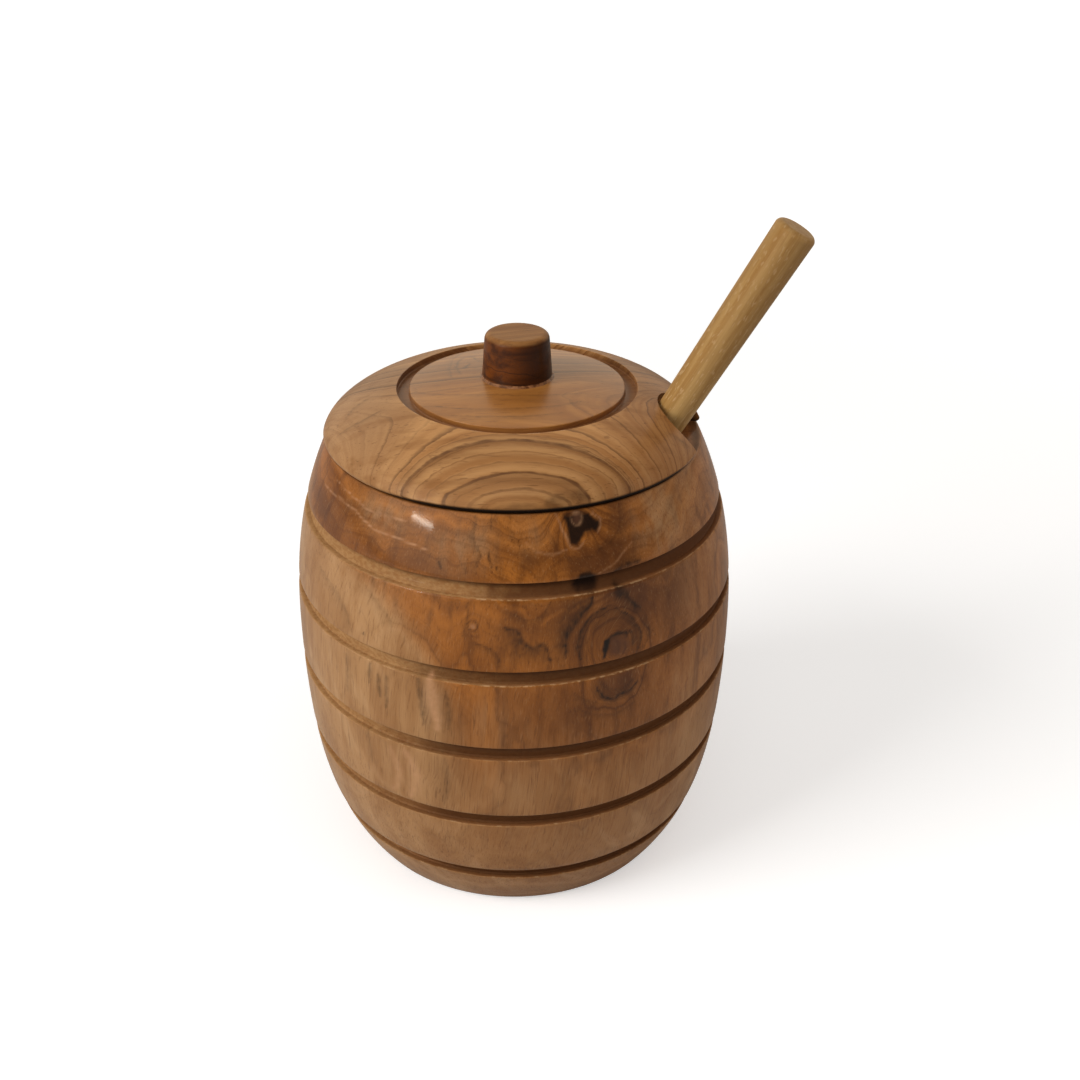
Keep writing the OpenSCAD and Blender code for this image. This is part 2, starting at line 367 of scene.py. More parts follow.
# %% [markdown]
# ## The figure that is placed one by one
# Noise alone gives wood, but not this piece of wood. Its knots, cracks and pale veins lie where they lie, so
# they are drawn over the unrolled side with pairs of an azimuth in degrees from the front and a height in mm.
# They are kept as numbers on the points of the mesh, and the material reads them. A painted picture would do
# this too, but a few strokes and patches are easy to read and to change.

# %% Dark and pale strokes on the side of the pot
DARK_STROKES = [  # width in mm, darkness, soft fade in mm (to the left, or to the right where negative), points
    (0.45, 0.95, -0.8, [24.1, 83.8, 26.5, 84, 28.3, 83.7, 28.6, 82.5]),
    (0.34, 0.8, 0.8, [29.4, 84, 30.4, 83.1, 30.8, 81.3, 30.3, 80.2]),
    (0.24, 0.6, 0, [26, 82.6, 26.6, 80.8, 26.2, 79.2]),
    (0.24, 0.55, 0, [28, 81.8, 28.4, 80.2, 27.6, 78.8]),
    (0.3, 0.5, -1.6, [34.4, 86.4, 35.2, 83.4, 34.8, 80.6, 33.6, 78.6]),
    (0.3, 0.55, -1.6, [17.6, 93.6, 14.6, 91.6, 12, 88.8]),
    (0.3, 0.8, -1.5, [17, 79.6, 16, 82.2, 16.5, 84.5, 17.6, 87.4, 20.7, 90, 25.2, 91.2]),
    (0.26, 0.75, -1.1, [25.2, 91.2, 28.2, 88.6, 30.8, 86.4, 32.6, 83.2, 32.7, 80.7, 31.9, 78.9]),
    (0.18, 0.5, -0.7, [19.2, 85.9, 20.5, 87.1, 22.4, 88.7, 26, 89.5, 28.6, 87.7, 30.4, 85.1]),
    (0.15, 0.4, -0.5, [18.3, 82, 18.8, 84.4, 20.6, 86, 23, 87.4, 26, 87.6, 28.4, 86]),
    (1.05, 0.95, 0, [27, 94.6, 28.2, 93.1, 29.6, 91.8]),
    (0.4, 0.85, -1.4, [29.2, 92.2, 31.1, 90, 33, 88.4]),
    (0.62, 0.92, -2.6, [20.5, 93.8, 19.6, 92.1, 16.9, 90.2, 15.2, 88.2, 13.7, 86.1, 13.2, 83, 13.1, 80.6]),
    (0.2, 0.45, -0.8, [21.9, 73.1, 24.1, 70.5, 27.6, 69.8, 30.4, 71.6]),
    (0.4, 0.95, -0.9, [20.8, 72, 21.7, 69.8, 23.2, 68.5, 25, 67.6, 26.8, 68.4, 29.5, 68.7, 31.4, 70.3]),
    (0.22, 0.45, -1.0, [15.3, 71.4, 17.3, 69.4, 20.7, 67.8]),
    (0.18, 0.35, -0.8, [17, 66.6, 21, 64.4, 26, 63.6, 31, 65.2]),
    (0.6, 0.75, 1.6, [26.9, 98.1, 30, 99, 34.6, 99]),
    (0.24, 0.55, -1.0, [-9.1, 111.8, -9.1, 106.5, -7.4, 104.4, -7.8, 101.7]),
    (0.16, 0.35, 0, [-5, 112, -4.8, 108.9]),
    (0.18, 0.35, -1.2, [0.2, 112.1, 0.7, 109, 3.2, 106.2, 5.5, 105.1, 9.5, 104.3]),
    (0.14, 0.3, 0, [2.8, 109.3, 3, 107.4]),
    (0.28, 0.7, 0, [-18.2, 101.9, -17.2, 100.2]),
    (0.28, 0.75, 0, [-5.4, 104.7, -5, 103, -4.3, 101.2]),
    (0.26, 0.7, 0, [-3.3, 101.9, -2.8, 100.7]),
    (0.26, 0.6, 0, [-11.1, 101.1, -10.7, 99.8]),
    (0.4, 0.28, -1.8, [-57.9, 89.5, -49, 86.6, -44.5, 83.3, -42, 79.2]),
    (0.4, 0.25, -1.6, [-38.5, 92, -35.2, 89.9, -31.3, 87.3, -29.4, 84.7]),
    (0.2, 0.45, -1.2, [-0.1, 92.1, 3.9, 90.3, 7.5, 91, 10.2, 94.1]),
    (0.16, 0.6, 0, [-10, 88.9, -8.7, 90, -7.5, 88.7, -8.5, 87.3, -9.9, 88.3]),
    (0.18, 0.45, 0.8, [-10.2, 93.6, -9.9, 90.5, -10.8, 87.5, -11.2, 86]),
    (0.24, 0.6, -1.2, [-8.3, 84.7, -4.6, 83.5, -2.7, 81.2, -2.5, 79]),
    (0.6, 0.8, -2.8, [-1.3, 88.5, 1.7, 87.6, 3.1, 84.8, 5.4, 83.7, 8, 84, 9.4, 80.1]),
    (0.5, 0.5, 0, [-33.4, 71.4, -33.1, 65.3]),
    (0.45, 0.45, 0, [-35.9, 73.4, -36.4, 68]),
    (0.4, 0.4, 0, [-31, 72, -31.2, 63]),
    (0.45, 0.5, 1.8, [-22.4, 73.6, -21.4, 67, -21, 61.4]),
    (0.45, 0.45, -1.8, [-15.1, 71.9, -14.4, 66, -14.6, 61.4]),
    (0.4, 0.35, -2.2, [-16, 53, -15.2, 46, -17, 38.6]),
    (0.35, 0.3, 1.5, [-44, 73, -44.6, 62]),
    (0.35, 0.3, 0, [-38, 54, -37.6, 44]),
    (0.35, 0.85, 0, [-38.1, 80.5, -38, 80]),
    (0.2, 0.35, -1.0, [22, 103.4, 27, 104.6, 30.6, 108, 31, 111.6]),
    (0.2, 0.3, -0.8, [12.2, 106.2, 14, 103.4, 18.4, 102.2, 22.6, 103, 26.2, 105.6, 27.4, 109]),
]
LID_STROKES = [  # the same, with pairs of x and y in mm seen from above
    (0.45, 0.9, 0, [-11.2, 8.5, -11.7, 6.9, -10.9, 9.4]),
    (0.3, 0.75, 0.8, [-12.4, 2.3, -13.9, 7.3, -13.4, 13.2, -11.1, 15.5, -8.7, 11.3]),
    (0.26, 0.55, 0.8, [-14.4, 0.6, -15.6, 7.2, -14.9, 16, -12.1, 21, -8.9, 18.3]),
    (0.24, 0.45, -0.9, [-20, -13.5, -12, -16.5, -2, -17.6, 9, -16, 16, -12.5]),
    (0.24, 0.5, -0.9, [-15, -19, -6, -20.8, 4, -20.6, 12, -18.4]),
    (0.24, 0.45, -0.9, [-22, -6.5, -14, -9.5, -6, -10.6, 6, -11, 18, -8]),
    (0.35, 0.7, 0, [29.1, 1.2, 32.2, 2.9, 35.5, 4.5]),
    (0.26, 0.5, -0.8, [-39.1, -9.7, -37, -6.5, -34.1, -4.3]),
    (0.26, 0.5, -1.0, [-39.9, -15.1, -35, -14.9, -30, -12.9]),
    (0.8, 0.55, -1.5, [7.5, -44.6, 13.8, -42.4, 17, -41.6]),
    (0.35, 0.45, -1.0, [35.4, -18.6, 38.3, -18.2, 40.8, -17.9]),
]
PALE_STROKES = [
    (0.15, 0.7, 0, [-60.1, 109.8, -48.2, 108.8, -42.9, 108, -37.1, 108.1, -32.9, 108.2, -28.7, 108.4]),
    (0.16, 0.8, 0, [-65.8, 106.8, -59.1, 106.7, -53.6, 106.8, -46.4, 106.4, -43.5, 105.7, -39.1, 104.7,
        -31.9, 104.6, -24.7, 103.9, -20.9, 103.5]),
    (0.16, 0.45, 0, [33, 103.3, 29.5, 101.5, 27.2, 100, 22.3, 98.5]),
    (0.22, 0.6, 0, [12.6, 112, 14.2, 108.2, 15.1, 106.3, 15.8, 105, 18, 104.6, 19.4, 105.8]),
    (0.22, 0.55, 0, [22.3, 111.4, 24.4, 109.9, 24.8, 108.5, 23.4, 106.9]),
    (1.1, 0.95, 0, [-19.3, 74.4, -18.4, 68, -17.3, 60.9]),
    (1.1, 0.75, 0, [-26.8, 52.6, -24, 45, -26.5, 38]),
    (0.9, 0.6, 0, [-30.8, 51.6, -29, 44, -31.5, 38.6]),
    (0.45, 0.7, 0, [-8.9, 88.9, -8.3, 88.2]),
    (0.24, 0.55, 0, [16.6, 110.9, 17.6, 111.7, 19.2, 111.4, 19.7, 110.3, 18.4, 109.2, 16.9, 109.7, 16.6, 110.9]),
    (0.2, 0.45, 0, [4, 106.6, 7, 104.6, 11, 104, 15, 104.6]),
]
PATCHES = {  # edge softness in mm, strength, corners
    "black": [
        (0.55, 0.97, [13.7, 111.8, 17.7, 111.9, 21.8, 111.5, 22.6, 110.6, 24.5, 109.4, 24.6, 108.2, 23.1, 107.4,
            21, 107.7, 19.7, 107.2, 18.6, 106, 17.4, 105.3, 15.9, 105.7, 15.3, 106.8, 15.3, 108.5, 14.9, 110.2]),
        (0.3, 1.0, [22.7, 83.1, 24.3, 83.6, 24.4, 82.5, 23.3, 79.7, 22.5, 78.7, 22.2, 81]),
        (0.6, 0.95, [17.6, 99.3, 20.4, 99.4, 22.1, 97.9, 22.6, 96.3, 21.8, 94.9, 17.2, 94.8, 15.4, 95.8, 16, 97.4]),
    ],
    "heart": [
        (0.6, 0.8, [16.8, 110.6, 17.6, 111.3, 18.7, 111.3, 19.3, 110.7, 18.9, 109.8, 18, 109.5, 17.1, 109.9]),
        (0.9, 0.7, [24.5, 82.9, 26.4, 83.5, 28.6, 82.9, 29.6, 80.9, 29, 78.8, 26.8, 78.2, 24.4, 79.3]),
    ],
}
BOLDNESS, SOFT_SHARE = 1.35, 0.9
FLAT_R = 52.0  # the radius at which the side is unrolled
DEGREE = math.radians(1) * FLAT_R  # one degree of it in mm
NOISE_CELLS = 97


def soft_noise(u, v, seed):
    """Smooth noise from -1 to 1 over a plane, one lump to a unit."""
    n = NOISE_CELLS
    table = np.random.default_rng(seed).uniform(-1, 1, (n, n))
    i, j = np.floor(u).astype(int), np.floor(v).astype(int)
    s, t = u - i, v - j
    s, t = s * s * (3 - 2 * s), t * t * (3 - 2 * t)
    low, high = (table[i % n, k % n] * (1 - s) + table[(i + 1) % n, k % n] * s for k in (j, j + 1))
    return low * (1 - t) + high * t


def curve_through(points, steps=6):
    """Points on a smooth curve through a stroke's points, which a polyline's corners would spoil."""
    p = np.reshape(points, (-1, 2)).astype(float)
    p = np.vstack([2 * p[0] - p[1], p, 2 * p[-1] - p[-2]])
    out = []
    for a, b, c, d in zip(p, p[1:], p[2:], p[3:]):
        bend, twist = 2 * a - 5 * b + 4 * c - d, 3 * b - a - 3 * c + d
        for t in np.linspace(0, 1, steps, endpoint=False):
            out.append(0.5 * (2 * b + (c - a) * t + bend * t**2 + twist * t**3))
    return np.array(out + [p[-2]])


def unroll(azimuth, height):
    return np.stack([np.radians(azimuth) * FLAT_R, height], -1)


def near_line(here, line, closed=False):
    """Distance to a line, the side it is on (1 left, -1 right) and how far along it, for each point."""
    ends = np.roll(line, -1, 0) if closed else line[1:]
    best, side, along = np.full(len(here), 1e9), np.zeros(len(here)), np.zeros(len(here))
    for i, (a, b) in enumerate(zip(line, ends)):
        step, off = b - a, here - a
        t = np.clip(off @ step / max(step @ step, 1e-9), 0, 1)
        far = np.linalg.norm(off - t[:, None] * step, axis=1)
        closer = far < best
        best = np.where(closer, far, best)
        side = np.where(closer, np.sign(step[0] * off[:, 1] - step[1] * off[:, 0]), side)
        along = np.where(closer, (i + t) / max(len(ends), 1), along)
    return best, side, along


def within(side, line, reach):
    """Which points lie in the box round a line, grown by reach."""
    return np.nonzero(((side > line.min(0) - reach) & (side < line.max(0) + reach)).all(1))[0]


def draw_strokes(side, strokes, scale=(DEGREE, 1)):
    """Strength from 0 to 1 of a set of strokes at each point of the unrolled side, or of a plan view in mm."""
    across, height = side.T
    shake = 0.22 * soft_noise(across * 0.8, height * 0.8, 3) + 0.10 * soft_noise(across * 2.3, height * 2.3, 4)
    worn = 0.8 + 0.3 * soft_noise(across * 1.4, height * 1.4, 5)
    total = np.zeros(len(side))
    for width, strength, fade, points in strokes:
        line = curve_through(points) * scale
        near = within(side, line, 3 * width + 2 * abs(fade) + 0.5)
        here = side[near] + np.stack([shake[near], shake[near] * 0.6], 1)
        far, hand, along = near_line(here, line)
        taper = 0.35 + 0.65 * np.sqrt(np.clip(np.sin(math.pi * along), 0, 1))
        mark = np.exp(-((far / (BOLDNESS * width * taper)) ** 2)) * worn[near]
        if fade:
            soft = np.exp(-((far / abs(fade)) ** 1.2)) * (hand * fade > 0) * taper
            mark = np.maximum(mark, SOFT_SHARE * soft * worn[near])
        total[near] = np.maximum(total[near], strength * mark)
    return np.clip(total, 0, 1)


def fill_patches(side, patches):
    """Strength from 0 to 1 of a set of filled patches, by the distance to their outlines."""
    total = np.zeros(len(side))
    wobble = 0.22 * soft_noise(side[:, 0] * 1.1, side[:, 1] * 1.1, 8)
    for soft, strength, corners in patches:
        line = np.reshape(corners, (-1, 2)) * (DEGREE, 1)
        near = within(side, line, 2)
        here = side[near]
        inside = np.zeros(len(near), bool)
        for a, b in zip(line, np.roll(line, -1, 0)):
            spans = (a[1] > here[:, 1]) != (b[1] > here[:, 1])
            cross = a[0] + (here[:, 1] - a[1]) * (b[0] - a[0]) / (b[1] - a[1] + 1e-12)
            inside ^= spans & (here[:, 0] < cross)
        depth = np.where(inside, 1, -1) * near_line(here, line, True)[0] + wobble[near]
        total[near] = np.maximum(total[near], strength * smooth_step(-soft, soft, depth))
    return total


# %% Knots and broad tints on the side of the pot
KNOTS = [  # azimuth, height, push on the rings in mm, half width across and up in mm
    (18.2, 109.4, 6.0, 6.0, 6.0),
    (25.5, 81.5, 8.0, 6.5, 8.5),
    (26.0, 70.0, 2.5, 5.5, 3.5),
    (-8.6, 88.6, 1.5, 1.5, 2.2),
]
WARM_EDGE = [  # height, azimuth where the brown begins, half width of that edge, strength
    (0, -20, 20, 0.3), (25, -20, 18, 0.4), (45, -16, 14, 0.45), (60, -13, 6, 0.8), (70, -15, 7, 0.95),
    (80, -20, 8, 1.0), (87, -26, 9, 1.0), (94, -40, 12, 0.9), (100, -76, 14, 1.0), (112, -95, 14, 0.95),
]
TINTS = {  # azimuth, height, half width in degrees, half height in mm, strength
    "warm": [
        (120, 98, 30, 16, 0.55), (170, 88, 36, 26, 0.65), (-120, 106, 36, 9, 0.6),
        (-150, 70, 24, 30, 0.35), (100, 55, 26, 24, 0.3), (-4, 88, 12, 9, 0.2),
    ],
    "ash": [
        (-60, 102, 12, 5, 0.3), (-52, 104, 26, 7, 0.42), (-24, 102, 10, 5, 0.35), (-12, 102, 8, 4, 0.25),
        (1, 86, 6, 4, 0.3), (12, 66, 12, 8, 0.22), (14, 87, 4, 8, 0.45), (18, 101.5, 6, 3.2, 0.55),
        (24, 88, 8, 7, 0.45), (25, 98, 7, 5, 0.55), (26, 81, 3, 3, 0.35), (27, 72, 8, 5, 0.6),
        (29, 94, 5, 3, 0.45), (29, 106, 5, 6, 0.35), (30, 60, 10, 10, 0.2), (31, 110, 3, 3, 0.5),
        (33, 91, 5, 6, 0.4), (44, 88, 10, 10, 0.65), (150, 84, 9, 9, 0.5),
    ],
    # Pale blond wood, except the two patches high on the left shoulder at -38 and -14 degrees, which are a painted
    # sheen.
    "blond_and_sheen": [
        (44, 106, 9, 8, 0.55), (-19, 68, 3, 8, 0.55), (-40, 88, 16, 7, 0.35), (-26, 46, 6, 9, 0.35),
        (-46, 66, 14, 9, 0.25), (-44, 45, 14, 9, 0.15), (12, 26, 12, 7, 0.25), (-55, 27, 20, 8, 0.25),
        (-100, 80, 18, 26, 0.35), (140, 40, 18, 22, 0.35), (-7, 106, 4, 5, 0.25), (5, 108, 5, 4, 0.25),
        (-38, 108, 10, 3.5, 0.45), (-14, 104, 6, 4, 0.4), (-5, 64, 5, 8, 0.25), (2, 44, 10, 9, 0.3),
    ],
}


def smooth_step(low, high, v):
    t = np.clip((v - low) / (high - low), 0, 1)
    return t * t * (3 - 2 * t)


def hump(v, none, full, fall, gone):
    """0 up to none, 1 from full to fall, and 0 again from gone on."""
    return smooth_step(none, full, v) * (1 - smooth_step(fall, gone, v))


def turn_from(azimuth, at):
    """Degrees from one azimuth to others, from -180 to 180."""
    return (azimuth - at + 180) % 360 - 180


def warm_zone(azimuth, height):
    """The brown heartwood: it begins at an edge that wanders over the height, and pales again at the right."""
    levels, starts, widths, strengths = np.array(WARM_EDGE).T
    start, width = np.interp(height, levels, starts), np.interp(height, levels, widths)
    zone = smooth_step(-1, 1, (azimuth - start) / width) * (1 - 0.3 * smooth_step(30, 52, azimuth))
    return zone * (1 - smooth_step(80, 120, azimuth)) * np.interp(height, levels, strengths)


def lay_tint(azimuth, height, tints):
    total = np.zeros(len(height))
    for at, level, across, up, strength in tints:
        turn = turn_from(azimuth, at)
        total += strength * np.exp(-((turn / across) ** 2) - ((height - level) / up) ** 2)
    return total


def points_of(mesh):
    flat = np.zeros(len(mesh.vertices) * 3, np.float32)
    mesh.vertices.foreach_get("co", flat)
    return flat.reshape(-1, 3).astype(float) / MM


def keep_numbers(mesh, **fields):
    for name, values in fields.items():
        layer = mesh.attributes.new(name, "FLOAT", "POINT")
        layer.data.foreach_set("value", np.asarray(values, np.float32))
        print(mesh.name, name, "from", round(float(values.min()), 2), "to", round(float(values.max()), 2))


x, y, z = points_of(body_mesh).T
azimuth, radius = np.degrees(np.arctan2(x, -y)), np.hypot(x, y)
side = unroll(azimuth, z)
on_side = smooth_step(-4.5, -2.5, radius - outer_r(z))
push, near_knot = np.zeros(len(z)), np.zeros(len(z))
for at, level, amount, across, up in KNOTS:
    turn = turn_from(azimuth, at) * DEGREE
    far = (turn / across) ** 2 + ((z - level) / up) ** 2
    push += amount * np.exp(-far**0.8)
    near_knot = np.maximum(near_knot, np.exp(-((far / 2.2) ** 1.5)) * min(1, amount / 3))
keep_numbers(body_mesh, warm=warm_zone(azimuth, z) + lay_tint(azimuth, z, TINTS["warm"]))
placed = {
    "push": push, "near": near_knot,
    "ash": lay_tint(azimuth, z, TINTS["ash"]), "blond_and_sheen": lay_tint(azimuth, z, TINTS["blond_and_sheen"]),
    "dark": draw_strokes(side, DARK_STROKES), "pale": draw_strokes(side, PALE_STROKES),
    "black": fill_patches(side, PATCHES["black"]), "heart": fill_patches(side, PATCHES["heart"]),
}
keep_numbers(body_mesh, **{name: values * on_side for name, values in placed.items()})

# %% [markdown]
# ## Grooves, their edges and the seam
# The floor of each groove took less lacquer and is pale. Painted shade darkens it under its upper wall and deeper
# in, more towards the right, where the floor also takes the brown of the wood round it. The tool chipped its lower
# edge, and the pale line along it is partly that chip and partly a painted highlight. The seam under the lid gets a
# dark line of painted shade.

# %% Numbers for the grooves and the seam
DIM = [  # for each groove from the bottom: azimuths, and how far the floor is browned and darkened there, partly the wood's own brown and partly painted shade
    ([-72, -25], [0.0, 0.9]), ([-66, -20], [0.0, 0.9]), ([-50, -10], [0.0, 0.9]),
    ([-34, -12, 4, 34, 52], [0.0, 0.45, 0.80, 0.85, 1.0]), ([-8, 0, 30, 52], [0.0, 0.85, 0.9, 1.0]),
]
LIP_FROM, LIP_TO, SEAM_SHADE_FRONT = -1.95, -1.55, (-52, -14, 52, 66)
in_groove, soot, dim, lip = np.zeros((4, len(z)))
turn = (azimuth + 110) % 360 - 110
behind = 1 - smooth_step(150, 245, turn)
depth = (outer_r(z) - radius) / GROOVE_D
for middle, (turns, amounts) in zip(GROOVES, DIM):
    up = z - middle
    level = (np.abs(up) < GROOVE_W / 2 + 0.02) & (radius < outer_r(z) - 0.2) & (on_side > 0.5)
    in_groove[level] = 1
    # Painted shade: dark on the upper wall and deeper in the floor, growing towards the right, away from the lamp.
    soot += level * 0.8 * smooth_step(0.9, 1.5, up)
    shade_from = -4 if middle > GROOVES[3] + 1 else -20
    shaded = smooth_step(shade_from - 10, shade_from + 6, turn) * behind
    soot += level * smooth_step(0.45, 0.95, depth) * (0.12 + 0.5 * shaded)
    wander = turn + 5 * soft_noise(side[:, 0] * 0.5, z * 0.5, 31)
    # The floor browns and darkens towards the right: partly the brown wood round it, partly painted shade.
    dim += level * np.interp(wander, turns, amounts) * behind
    rough = 0.25 + 0.5 * soft_noise(side[:, 0] * 0.6, np.full(len(z), middle), 12)
    rough += 0.5 * hump(azimuth, -14, -4, 24, 40) * (middle > GROOVES[2])
    # A pale line on the worn lower edge: partly chipped fibre, partly a painted highlight where the edge faces up.
    lip += on_side * np.clip(rough, 0, 1) * (up < LIP_TO) * (up > LIP_FROM) * (radius > outer_r(z) - 0.3)
# Painted shade: a dark line in the seam under the lid, wider at the front.
body_seam = smooth_step(111.95, 112.3, z) * (radius > 43) * (0.55 + 0.45 * hump(azimuth, *SEAM_SHADE_FRONT))
keep_numbers(body_mesh, groove=in_groove, soot=np.clip(soot, 0, 1), lip=lip, dim=dim, seam=body_seam)

x, y, z = points_of(lid_mesh).T
reach = np.hypot(x, y)
lid_turn = np.degrees(np.arctan2(x, -y))
# Painted shade: the lid's lower edge darkens in the seam, over a wider band at the front.
wide_seam = hump(lid_turn, *SEAM_SHADE_FRONT)
lid_seam = (1 - smooth_step(112.5 + 0.7 * wide_seam, 112.9 + 0.95 * wide_seam, z)) * (reach > 41)
from_ring = np.hypot(x - RING_OFF[0], y - RING_OFF[1])
# Painted shade: the floor and low walls of the ring round the panel are darkened.
ring_shade = (from_ring > PANEL_R - 0.3) * (from_ring < RING_R + 0.05) * (z < dome_z(np.minimum(reach, LID_R)) - 0.25)
ring_shade = ring_shade * (z > RING_FLOOR - 0.1) * ((from_ring > PANEL_R + 0.3) | (z < RING_FLOOR + 0.4))
chipped = smooth_step(-0.1, 0.5, soft_noise(lid_turn * 0.35, reach * 0.2, 21))
ring_lip = chipped * (np.abs(from_ring - RING_R - 0.1) < 0.2) * (y < -8) * (z > RING_FLOOR + 0.5)
lid_spots = np.stack([x, y], -1)
keep_numbers(
    lid_mesh, seam=lid_seam, ring=ring_shade, lip=ring_lip,
    dark=draw_strokes(lid_spots, LID_STROKES, (1, 1)) * (z > BODY_H + 1),
)

# %% [markdown]
# ## Shader maths
# Wood is worked out at every point of the surface from a handful of numbers. Wiring such sums by hand is hard
# to read, so a small class wraps a socket and adds a Math node for each operator. The rest of the nodes come
# from one method that takes a node's type, its settings and its inputs.

# %% A class for shader maths
class Wire:
    """An output socket that can be used in a sum."""

    def __init__(self, wood, socket):
        self.wood, self.socket = wood, socket

    def math(self, operation, *others):
        return self.wood.node("Math", {"operation": operation}, [self, *others])

    def __add__(self, other): return self.math("ADD", other)
    def __sub__(self, other): return self.math("SUBTRACT", other)
    def __rsub__(self, other): return self.wood.node("Math", {"operation": "SUBTRACT"}, [other, self])
    def __mul__(self, other): return self.math("MULTIPLY", other)
    def __truediv__(self, other): return self.math("DIVIDE", other)
    def most(self, other): return self.math("MAXIMUM", other)
    def least(self, other): return self.math("MINIMUM", other)
    def part(self): return self.math("FRACT")
    def whole(self): return self.math("FLOOR")
    def root(self): return self.math("SQRT")
    def size(self): return self.math("ABSOLUTE")
    __radd__, __rmul__ = __add__, __mul__

    def step(self, low, high):
        """0 below low, 1 above high, and a smooth climb between them."""
        settings = {"interpolation_type": "SMOOTHSTEP"}
        return self.wood.node("MapRange", settings, {"Value": self, "From Min": low, "From Max": high})


class Finish:
    """A material under construction."""

    def __init__(self, name):
        self.material = bpy.data.materials.new(name)
        self.material.use_nodes = True
        self.tree = self.material.node_tree
        self.tree.nodes.clear()

    def node(self, kind, settings=None, inputs=(), output=0):
        made = self.tree.nodes.new("ShaderNode" + kind)
        for key, value in (settings or {}).items():
            setattr(made, key, value)
        pairs = inputs.items() if isinstance(inputs, dict) else enumerate(inputs)
        for key, value in pairs:
            if isinstance(value, Wire):
                self.tree.links.new(value.socket, made.inputs[key])
            else:
                made.inputs[key].default_value = value
        return Wire(self, made.outputs[output]) if made.outputs else made

    def number(self, name):
        """A number that the mesh keeps at its points."""
        return self.node("Attribute", {"attribute_name": name}, output="Fac")

    def place(self, scale=(1, 1, 1), move=(0, 0, 0)):
        """The place on the object in mm, from its own frame, stretched by scale."""
        return self.stretch(self.node("TexCoord", output="Object"), tuple(s / MM for s in scale), move)

    def stretch(self, vector, scale, move=(0, 0, 0)):
        return self.node("VectorMath", {"operation": "MULTIPLY_ADD"}, [vector, scale, move])

    def split(self, vector):
        made = self.node("SeparateXYZ", None, [vector]).socket.node
        return [Wire(self, s) for s in made.outputs]

    def join(self, *numbers):
        return self.node("CombineXYZ", None, numbers)

    def noise(self, vector, detail=2.0, rough=0.5):
        return self.node("TexNoise", None, {"Vector": vector, "Scale": 1.0, "Detail": detail, "Roughness": rough})

    def cloud(self, scale, move=(0, 0, 0), detail=2.0, rough=0.5):
        """Noise over the object, with scale lumps to a mm."""
        return self.noise(self.place(scale, move), detail, rough)

    def noise_along(self, w, detail=2.0, rough=0.5):
        settings = {"noise_dimensions": "1D"}
        return self.node("TexNoise", settings, {"W": w, "Scale": 1.0, "Detail": detail, "Roughness": rough})

    def off_axis(self, point, direction):
        """The distance in mm from a line through a point, along a direction of length 1."""
        from_point = self.place((1, 1, 1), tuple(-v for v in point))
        across = self.node("VectorMath", {"operation": "CROSS_PRODUCT"}, [from_point, direction])
        return self.node("VectorMath", {"operation": "LENGTH"}, [across], "Value")

    def mix(self, share, a, b, kind="MIX"):
        return self.node("Mix", {"data_type": "RGBA", "blend_type": kind}, {0: share, 6: a, 7: b}, 2)

    def done(self, colour, relief, **sockets):
        """Ends the material with a shader that takes a colour and a relief in mm."""
        bump = self.node("Bump", None, {"Strength": 1.0, "Distance": MM, "Height": relief}, "Normal")
        inputs = {"Base Color": colour, "Normal": bump, "Coat IOR": 1.5, "Specular IOR Level": 0.1}
        inputs |= {name.replace("_", " "): value for name, value in sockets.items()}
        self.node("OutputMaterial", None, {"Surface": self.node("BsdfPrincipled", None, inputs)})
        return self.material


def paint(red, green, blue):
    """A colour written in the display's 0 to 255 as the linear colour that the shader takes."""
    shares = [c / 255 for c in (red, green, blue)]
    return (*(v / 12.92 if v <= 0.04045 else ((v + 0.055) / 1.055) ** 2.4 for v in shares), 1.0)


# %% [markdown]
# ## The wood of the pot
# The log's heart ran down the hollow, so the growth rings are tubes round an axis near the pot's own. Where the
# barrel's side lies along a ring the figure is broad and soft, and on the shoulder, which cuts across the
# rings, it turns into fine level lines. Knots push the rings out, which wraps the lines round them. Over that
# come the fibres, which run up the pot and bend round the knots, and the short dark pores of an open-grained
# hardwood.

# %% Growth rings, fibres and pores
def ring_lines(wood, distance, spacing):
    """Dark thin lines, one to a year ring, each with its own strength."""
    years = distance / spacing + wood.noise_along(distance * 0.45, 1.0) * 1.6
    late = years.part()
    strength = wood.noise_along(years.whole() * 3.7 + 0.5, 0.0).step(0.35, 0.7)
    return late.step(0.55, 0.93) * (1 - late.step(0.94, 1.0)) * strength


def fibre_marks(wood, vector, across, along):
    """Broad and fine streaks along the third axis of a vector, and short dark pores."""
    def marks(thin, length, move, detail, rough):
        scale = (thin * across, thin * across, length * along)
        return wood.noise(wood.stretch(vector, scale, move), detail, rough)

    broad = marks(0.33, 0.25, (0, 0, 0), 2.0, 0.55)
    fine = marks(3.0, 1.3, (7, 3, 1), 3.0, 0.65)
    pores = marks(2.2, 2.2, (31, 17, 5), 1.0, 0.5)
    return broad, fine, pores.step(0.64, 0.74)


TAN, TAN_DEEP, TAN_LIGHT = paint(170, 126, 82), paint(148, 103, 61), paint(190, 149, 106)
AMBER, AMBER_DEEP, AMBER_LIGHT = paint(133, 77, 27), paint(82, 44, 17), paint(164, 99, 38)
SMOKE, INK, VEIN, PITH = paint(74, 42, 26), paint(26, 15, 11), paint(200, 150, 110), paint(96, 62, 44)
# The colour of the painted shade in the seam between lid and body.
SEAM_SHADE_COLOUR = paint(14, 9, 7)


